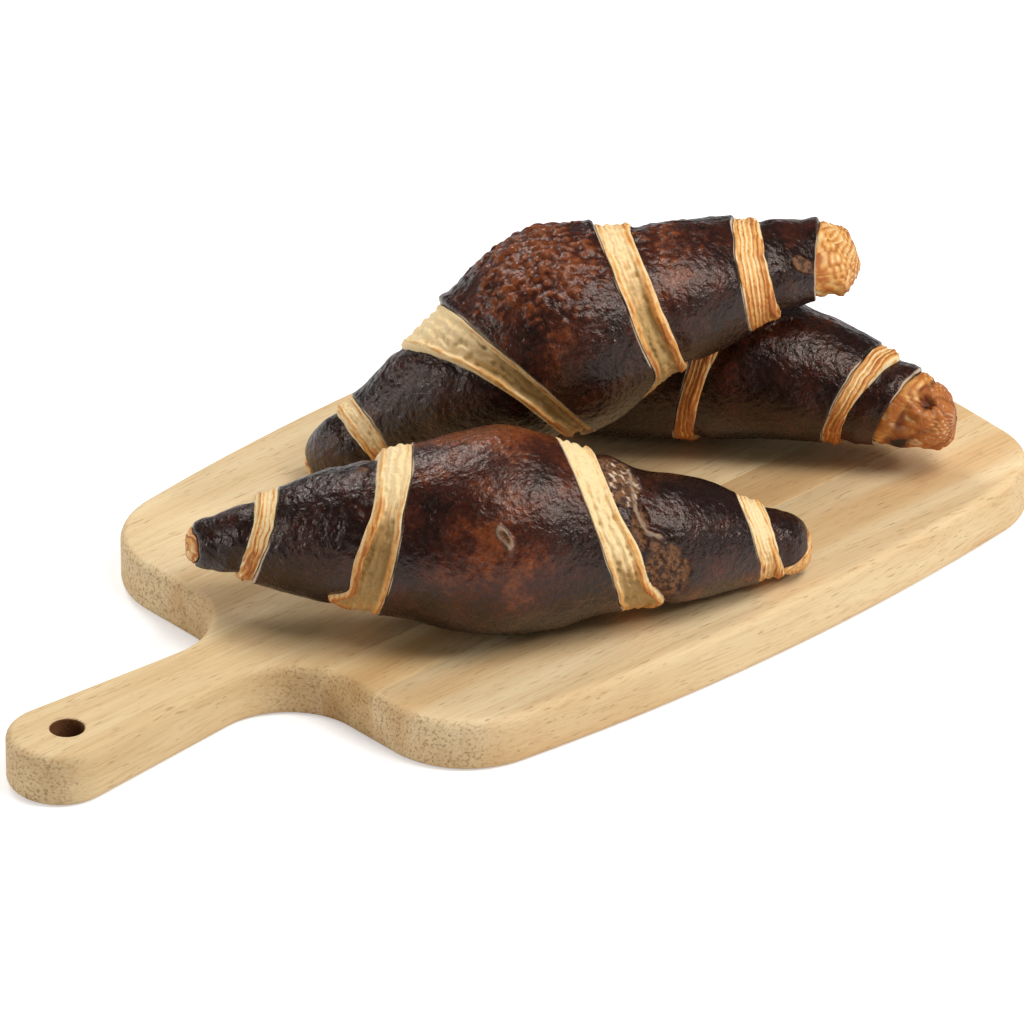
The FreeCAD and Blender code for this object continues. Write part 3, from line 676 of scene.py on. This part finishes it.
def cocoa_wrap(name, body, roll, number, finish):
    """One turn of the cocoa sheet: a thin band with a cut edge, tucked under its neighbour."""
    half = roll["length"] / 2
    seed = roll["seed"] * 100 + number
    first, last = roll["wraps"][number][0][0], roll["wraps"][number][1][0]
    middle = (first + last) / 2
    widest = max(crust_radius(roll, np.linspace(first, last, 9)))
    wide = (last - first) * half
    rings, sides = int(wide / WRAP_STEP), int(2 * math.pi * widest / WRAP_STEP)
    rim = 0.3 / wide
    corners = [(0, 1.2), (0, 1.8), (rim, 2), (1 - rim, 2), (1, 1.8), (1, 1.2), (1 - rim, 1), (rim, 1)]
    bm = spun_shell(corners, [1, 0, rings, 0, 1, 0, 9, 0], sides)
    along, height, angle = shell_points(bm)
    depth = height - 1
    left, right = edge_place(roll, 2 * number, angle), edge_place(roll, 2 * number + 1, angle)
    tucked_left = number > 0 and roll["over"][number - 1] < 0
    tucked_right = number < len(roll["wraps"]) - 1 and roll["over"][number] > 0
    start = left - (WRAP_TUCK / half if tucked_left else 0)
    end = right + (WRAP_TUCK / half if tucked_right else 0)
    share = start * (1 - along) + end * along
    from_left, from_right = (share - left) * half, (right - share) * half
    flat = lay(roll, share, angle, 0)
    lift = 0.55 * bumps(flat, 13.0, seed) + 0.22 * bumps(flat, 5.0, seed + 1)
    lift = lift + 0.10 * bumps(flat, 1.8, seed + 2, 2)
    for near, tucked in ((from_left, tucked_left), (from_right, tucked_right)):
        if tucked:
            lift = lift - 1.2 * (1 - rise(near, -0.5, 4.5))
        else:
            lift = lift + 0.22 * np.exp(-np.maximum(near, 0) / 1.3) - 0.1
    for edge, middle_angle, width, height in roll.get("curls", ()):
        if edge // 2 == number:
            near = from_right if edge % 2 else from_left
            lift = lift + height * round_gap(angle, middle_angle, width) * (1 - rise(near, 0, 4.0))
    wrinkled = patches(roll.get("wrinkles", ()), number, share, angle)
    skew = flat * np.array((0.55, 1.0, 1.0)) + 0.9 * bumps(flat, 4.0, seed + 3)[:, None]
    creases = 1 - np.abs(bumps(skew, 2.0, seed + 4, 2)) * 2
    lift = lift + wrinkled * 0.34 * creases
    blistered = patches(roll.get("blisters", ()), number, share, angle)
    dense = np.clip(blistered, 0, 1)
    spot, own = pimples(flat * np.array((0.75, 1.0, 1.0)), 1.9, seed + 5)
    blister = (1 - rise(spot, 0.22, 0.60)) * (own < 0.08 + 0.72 * dense)
    big_spot, big_own = pimples(flat * np.array((0.6, 1.0, 1.0)), 3.6, seed + 15)
    big = (1 - rise(big_spot, 0.18, 0.52)) * (big_own < 0.5 * dense)
    lift = lift + blister * (0.25 + 0.55 * own) * (0.35 + dense) + big * 1.1 * dense
    ribs = 1 - 2.2 * np.abs(bumps(flat * np.array((0.3, 1.0, 1.0)), 3.0, seed + 16, 2))
    lift = lift + 0.28 * dense * ribs
    rust = 0.25 + 0.55 * bumps(flat, 7.0, seed + 6, 3) + 0.45 * blister * (0.3 + dense) \
        + 0.5 * big * dense + 0.25 * dense + patches(roll.get("rust", ()), number, share, angle)
    edge_gap = np.minimum(np.where(tucked_left, FAR, from_left),
                          np.where(tucked_right, FAR, from_right))
    # A pale line along each bare cut edge is a painted highlight where the edge catches the light. Torn
    # patches, the ribbon and a mark's ring add real pale dough to the same tint.
    edge_glint_and_pale_dough = (1 - rise(edge_gap, 0.12, 0.42)) * (0.5 + 0.9 * bumps(flat, 6.0, seed + 8)) \
        * (depth > 0.3)
    torn = np.zeros_like(share)
    for where, middle_share, middle_angle, long, wide_angle, strength in roll.get("torn", ()):
        if where == number:
            ragged = bumps(flat, 3.4, seed + 9, 3)
            patch = hump(share, middle_share, long) * round_gap(angle, middle_angle, wide_angle)
            torn = np.maximum(torn, rise(patch + 0.3 * ragged, 0.42, 0.56))
            edge_glint_and_pale_dough = np.maximum(edge_glint_and_pale_dough, strength * torn * rise(
                bumps(flat, 1.1, seed + 20, 2), -0.1, 0.5))
    crumbs, crumb_own = pimples(flat, 1.5, seed + 17)
    crumbs = (1 - rise(crumbs, 0.2, 0.6)) * crumb_own
    lift = lift - torn * (0.8 - 0.9 * crumbs + 0.5 * bumps(flat, 2.0, seed + 10, 2))
    for where, route, wide, height in roll.get("ribbons", ()):
        if where == number:
            near_ribbon = np.full_like(share, FAR)
            for (share_1, angle_1), (share_2, angle_2) in zip(route, route[1:]):
                run = np.array(((share_2 - share_1) * half,
                                math.radians(angle_2 - angle_1) * crust_radius(roll, share_1)))
                spot_at = np.stack(((share - share_1) * half,
                                    (np.degrees(angle) % 360 - angle_1) * math.radians(1)
                                    * crust_radius(roll, share_1)), -1)
                along_run = np.clip(spot_at @ run / (run @ run), 0, 1)
                near_ribbon = np.minimum(near_ribbon, np.linalg.norm(
                    spot_at - along_run[:, None] * run, axis=-1))
            band = 1 - rise(near_ribbon + 0.5 * bumps(flat, 1.5, seed + 19, 2), 0.7 * wide, 1.3 * wide)
            gully = hump(near_ribbon, 2.2 * wide, 0.8 * wide)
            lift = lift + height * band - 0.4 * gully
            torn = np.maximum(torn, band)
            edge_glint_and_pale_dough = np.maximum(edge_glint_and_pale_dough, 0.40 * band)
    for where, middle_share, middle_angle, long, wide, tilt, height, pit in roll.get("marks", ()):
        if where == number:
            along_mark = (share - middle_share) * half
            round_mark = ((np.degrees(angle) - middle_angle + 180) % 360 - 180) \
                * math.radians(1) * crust_radius(roll, middle_share)
            lean = math.radians(tilt)
            far = np.hypot((along_mark * math.cos(lean) + round_mark * math.sin(lean)) / long,
                           (round_mark * math.cos(lean) - along_mark * math.sin(lean)) / wide) \
                + 0.25 * bumps(flat, 1.6, seed + 18)
            body_of = 1 - rise(far, 0.75, 1.15)
            middle_of = 1 - rise(far, 0.25, 0.7)
            lift = lift + height * body_of - pit * middle_of
            torn = np.maximum(torn, 0.9 * body_of)
            edge_glint_and_pale_dough = np.maximum(edge_glint_and_pale_dough, 0.42 * (body_of - middle_of) * (pit > 0))
    points = lay(roll, share, angle, -WRAP_DEPTH * (1 - depth) + lift * np.clip(depth, 0.25, 1))
    bake(bm, roll, "%s_cocoa_%d" % (name, number + 1), body, points,
         (rust, edge_glint_and_pale_dough, torn, 0.6 * np.maximum(blister, big) * np.clip(dense, 0.2, 1)),
         finish, "%s_wrap_%d" % (name, number + 1))


def baked_dough():
    """Plain crust: cream layers, a khaki open crumb and ridges toasted orange, with painted shade in the
    crumb's pits and hollows, on the underside and in the groove and folds of a coiled end.
    """
    finish, tree, shader = new_finish("plain baked dough", Specular__IOR__Level=0.35,
                                      Subsurface__Weight=0.08, Subsurface__Scale=0.002)
    where = wire(tree, "TexCoord").outputs["Object"]
    tint = wire(tree, "Attribute", {"attribute_name": "baked"})
    parts = wire(tree, "SeparateColor", None, Color=tint.outputs["Color"])
    mottle = speckle(tree, where, 420.0, 4.0, 0.6)
    flakes = speckle(tree, where, 1500.0, 3.0, 0.65)
    heat = wire(tree, "Math", {"operation": "MULTIPLY_ADD"}, n0=mottle, n1=0.55,
                n2=parts.outputs["Red"]).outputs[0]
    base = blend(tree, ramp(tree, heat, 0.35, 0.95), colour(250, 220, 164), colour(228, 166, 88))
    base = blend(tree, ramp(tree, heat, 0.88, 1.35), base, colour(176, 98, 36))
    base = blend(tree, ramp(tree, parts.outputs["Green"], 0.1, 0.8), base, colour(186, 150, 92))
    base = blend(tree, ramp(tree, parts.outputs["Blue"], 0.25, 0.9, 0.0, 0.75), base,
                 colour(255, 236, 196))
    base = blend(tree, ramp(tree, flakes, 0.50, 0.75, 0.0, 0.35), base, colour(196, 128, 62),
                 "MULTIPLY")
    # alpha tint: cocoa filling at a coiled end, and painted shade in its groove and between its folds
    base = blend(tree, ramp(tree, tint.outputs["Alpha"], 0.1, 0.5, 0.0, 0.8), base,
                 colour(112, 52, 24))
    base = blend(tree, ramp(tree, tint.outputs["Alpha"], 0.6, 0.95), base, colour(40, 20, 16))
    tree.links.new(base, shader.inputs["Base Color"])
    tree.links.new(ramp(tree, mottle, 0.3, 0.7, 0.42, 0.62), shader.inputs["Roughness"])
    grit = wire(tree, "Bump", None, Strength=0.6, Distance=0.0003, Height=flakes)
    tree.links.new(grit.outputs[0], shader.inputs["Normal"])
    return finish


def baked_cocoa():
    """Cocoa crust: red black and glossy, rust brown where it is raised, with a pebbled skin and a painted
    highlight along its cut edges.
    """
    finish, tree, shader = new_finish("baked cocoa dough", Specular__IOR__Level=0.55,
                                      Specular__Tint=(1.0, 0.80, 0.70, 1))
    where = wire(tree, "TexCoord").outputs["Object"]
    tint = wire(tree, "Attribute", {"attribute_name": "baked"})
    parts = wire(tree, "SeparateColor", None, Color=tint.outputs["Color"])
    mottle = speckle(tree, where, 620.0, 5.0, 0.7)
    pebble = speckle(tree, where, 560.0, 2.0, 0.5)
    grit = speckle(tree, where, 2300.0, 2.0, 0.6)
    clots = speckle(tree, where, 700.0, 4.0, 0.7)
    heat = wire(tree, "Math", {"operation": "MULTIPLY_ADD"}, n0=mottle, n1=1.3,
                n2=parts.outputs["Red"]).outputs[0]
    base = blend(tree, ramp(tree, heat, 0.75, 1.40), colour(27, 11, 8), colour(66, 27, 15))
    base = blend(tree, ramp(tree, heat, 1.25, 1.80, 0.0, 0.85), base, colour(132, 66, 28))
    base = blend(tree, ramp(tree, grit, 0.52, 0.72, 0.0, 0.45), base, colour(20, 10, 8))
    base = blend(tree, ramp(tree, tint.outputs["Alpha"], 0.3, 0.9, 0.0, 0.7), base,
                 colour(150, 84, 44))
    crumb = blend(tree, ramp(tree, clots, 0.40, 0.58), colour(52, 28, 18), colour(126, 84, 52))
    base = blend(tree, parts.outputs["Blue"], base, crumb)
    # green tint: painted highlight along the cut edges, and pale torn crumbs and dough
    base = blend(tree, ramp(tree, parts.outputs["Green"], 0.2, 0.7, 0.0, 0.9), base,
                 colour(214, 192, 164))
    tree.links.new(base, shader.inputs["Base Color"])
    dull = wire(tree, "Math", {"operation": "MULTIPLY_ADD"}, n0=parts.outputs["Blue"], n1=0.45,
                n2=ramp(tree, clots, 0.35, 0.65, 0.19, 0.36))
    tree.links.new(dull.outputs[0], shader.inputs["Roughness"])
    skin = wire(tree, "Math", {"operation": "MULTIPLY_ADD"}, n0=grit, n1=0.22, n2=pebble)
    rough = wire(tree, "Bump", None, Strength=0.8, Distance=0.0006, Height=skin.outputs[0])
    tree.links.new(rough.outputs[0], shader.inputs["Normal"])
    return finish


def cocoa_cream():
    """Thick cocoa cream inside a croissant."""
    finish, tree, shader = new_finish("cocoa cream", Roughness=0.3)
    where = wire(tree, "TexCoord").outputs["Object"]
    swirl = speckle(tree, where, 160.0, 3.0, 0.5)
    tree.links.new(blend(tree, swirl, colour(40, 20, 14), colour(66, 34, 22)),
                   shader.inputs["Base Color"])
    soft = wire(tree, "Bump", None, Strength=0.4, Distance=0.0006, Height=swirl)
    tree.links.new(soft.outputs[0], shader.inputs["Normal"])
    return finish


plain_finish, cocoa_finish, cream_finish = baked_dough(), baked_cocoa(), cocoa_cream()

# Small features. Places along a roll are shares of half its length, and angles and widths
# round it are in degrees; heights, depths and the reach of a flare are in millimetres.
#   sliced, toast: one value a strip, for how cleanly it is cut and how brown it is
#   ragged: one value an end
#   flares, curls: edge, angle, width, reach or height
#   puffs, hollows: strip, angle, width, height or depth
#   wrinkles, blisters, rust: wrap, place, angle, length, width, strength
#   torn: wrap, place, angle, length, width, how pale its crumbs are
#   ribbons: wrap, route of places and angles, width, height
#   swells: place, angle, length, width, height
#   marks: wrap, place, angle, half its length and width, tilt, height, pit
front["sliced"] = (0.9, 0.25, 0.15, 0.7)
front["toast"] = (0.15, 0.1, -0.1, 0.05)
front["ragged"] = (0.5, 0.6)
front["flares"] = ((3, 220.0, 13.0, -5.0), (3, 172.0, 26.0, -1.5), (6, 222.0, 22.0, 4.5),
                   (6, 160.0, 20.0, 1.5), (5, 228.0, 10.0, 1.0), (9, 216.0, 36.0, -8.0))
front["puffs"] = ((0, 100.0, 60.0, 0.8), (1, 70.0, 50.0, 1.6), (2, 90.0, 60.0, 0.8), (3, 120.0, 60.0, 1.0))
front["hollows"] = ((1, 172.0, 30.0, 3.6), (2, 205.0, 24.0, 0.8))
front["wrinkles"] = ((1, -0.66, 130.0, 0.2, 60.0, 0.8), (2, 0.0, 90.0, 0.3, 60.0, 0.35),
                     (0, -0.97, 120.0, 0.1, 70.0, 0.6))
front["blisters"] = ((2, 0.0, 120.0, 0.4, 70.0, 0.12), (1, -0.6, 120.0, 0.3, 60.0, 0.12))
front["rust"] = ((2, 0.0, 78.0, 0.4, 35.0, 0.7), (2, -0.05, 165.0, 0.22, 40.0, 0.55),
                 (3, 0.7, 215.0, 0.2, 30.0, 0.3))
front["torn"] = ((3, 0.385, 98.0, 0.085, 34.0, 0.8), (3, 0.545, 187.0, 0.115, 34.0, 0.15),
                 (3, 0.45, 145.0, 0.035, 26.0, 0.3))
front["ribbons"] = ((3, ((0.425, 88.0), (0.43, 108.0), (0.44, 129.0), (0.475, 147.0),
                         (0.525, 150.0)), 0.8, 0.9),)
front["swells"] = ((-0.02, 85.0, 0.30, 60.0, 1.6), (0.47, 92.0, 0.10, 60.0, -2.2),
                   (-0.50, 92.0, 0.10, 50.0, -0.9))
front["marks"] = ((2, -0.034, 152.0, 4.8, 1.5, 56.0, 0.7, 0.6), (1, -0.50, 88.0, 2.2, 1.3, 30.0, 0.3, 0.0))


def croissant(name, roll):
    """Put a croissant together on its body."""
    body = "croissant_" + name
    seat(roll, name + "_dough")
    dough_roll(name, body, roll, plain_finish)
    for number in range(len(roll["wraps"])):
        cocoa_wrap(name, body, roll, number, cocoa_finish)
    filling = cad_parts[name + "_filling"]
    filling.data.materials.clear()
    filling.data.materials.append(cream_finish)


croissant("front", front)

# ---------------------------------------------------------------- rear croissant
# The same kind of roll, on the board behind the others. Its right end shows how the dough
# is coiled up: an orange ring of layers round a dark, glossy middle.

rear = {
    "yaw": -52.0, "pitch": 2.3, "length": 138.0, "bend": 8.0, "droop": 8.0,
    "radii": (8.0, 15.0, 20.4, 22.3, 20.0, 15.7, 10.5),
    "wraps": (((-1.04, 0.0), (-0.93, -0.03)), ((-0.86, -0.04), (-0.49, -0.06)),
              ((-0.38, -0.06), (0.165, 0.097)), ((0.24, 0.097), (0.735, 0.107)),
              ((0.81, 0.107), (0.915, 0.085))),
    "over": (1, 1, -1, -1),
    "seed": 2,
    "sliced": (1.0, 1.0, 1.0, 1.0),
    "toast": (0.5, 0.5, 0.5, 0.5),
    "ragged": (0.5, 0.6),
    # on its right end: the ring's width, and the place, angle and size of the hollow
    "coil": (4.2, 1.045, 134.0, 2.1),
    "puffs": ((2, 120.0, 90.0, 0.5), (3, 120.0, 90.0, 0.6)),
    "marks": ((3, 0.44, 118.0, 0.8, 0.5, 0.0, 0.3, 0.0),),
    "blisters": ((2, 0.0, 110.0, 0.4, 70.0, 0.35), (3, 0.5, 100.0, 0.3, 70.0, 0.25)),
    "wrinkles": ((3, 0.55, 110.0, 0.3, 60.0, 0.3),),
}
croissant("rear", rear)

# ---------------------------------------------------------------- top croissant
# The same kind of roll, its thin end on the board and its belly across the rear one. Its
# second turn overlaps the belly, and its right end is bare, flaky dough.

top = {
    "yaw": -32.0, "pitch": 19.9, "length": 137.0, "bend": -17.0, "droop": 19.0,
    "radii": (9.0, 13.0, 22.0, 27.0, 21.0, 15.5, 10.5),
    "wraps": (((-1.11, 0.0), (-0.895, -0.035)), ((-0.805, -0.035), (-0.37, -0.23)),
              ((-0.215, -0.175), (0.26, 0.0)), ((0.39, 0.0), (0.7075, 0.0475)),
              ((0.815, 0.03), (0.9925, 0.0675))),
    "over": (1, 1, -1, -1),
    "seed": 3,
    "sliced": (0.5, 0.15, 0.25, 1.0),
    "toast": (0.1, -0.1, 0.15, 0.3),
    "ragged": (0.4, 1.7),
    "flares": ((5, 246.0, 16.0, -24.0),),
    "swells": ((0.12, 90.0, 0.25, 60.0, 1.3), (0.45, 95.0, 0.06, 50.0, -1.4), (0.62, 130.0, 0.12, 50.0, 0.9),
               (-0.45, 70.0, 0.08, 50.0, -1.2)),
    "puffs": ((0, 110.0, 80.0, 0.8), (1, 75.0, 40.0, 1.0), (2, 100.0, 30.0, 0.5)),
    "hollows": ((1, 160.0, 34.0, 1.4), (2, 160.0, 42.0, 1.3)),
    "curls": ((4, 62.0, 30.0, 1.2), (5, 60.0, 20.0, 0.7), (9, 70.0, 40.0, 0.5)),
    "marks": ((4, 0.935, 156.0, 2.8, 2.1, 60.0, 1.7, 0.0),),
    "wrinkles": ((1, -0.6, 110.0, 0.25, 80.0, 1.0), (0, -0.97, 130.0, 0.2, 80.0, 0.9),
                 (4, 0.9, 130.0, 0.2, 70.0, 0.5)),
    "blisters": ((2, 0.02, 92.0, 0.36, 48.0, 1.3), (3, 0.5, 95.0, 0.25, 36.0, 0.7),
                 (2, 0.05, 150.0, 0.25, 50.0, 0.15)),
    "rust": ((2, 0.02, 95.0, 0.3, 50.0, 0.25), (3, 0.44, 130.0, 0.1, 50.0, 0.4)),
}
croissant("top", top)
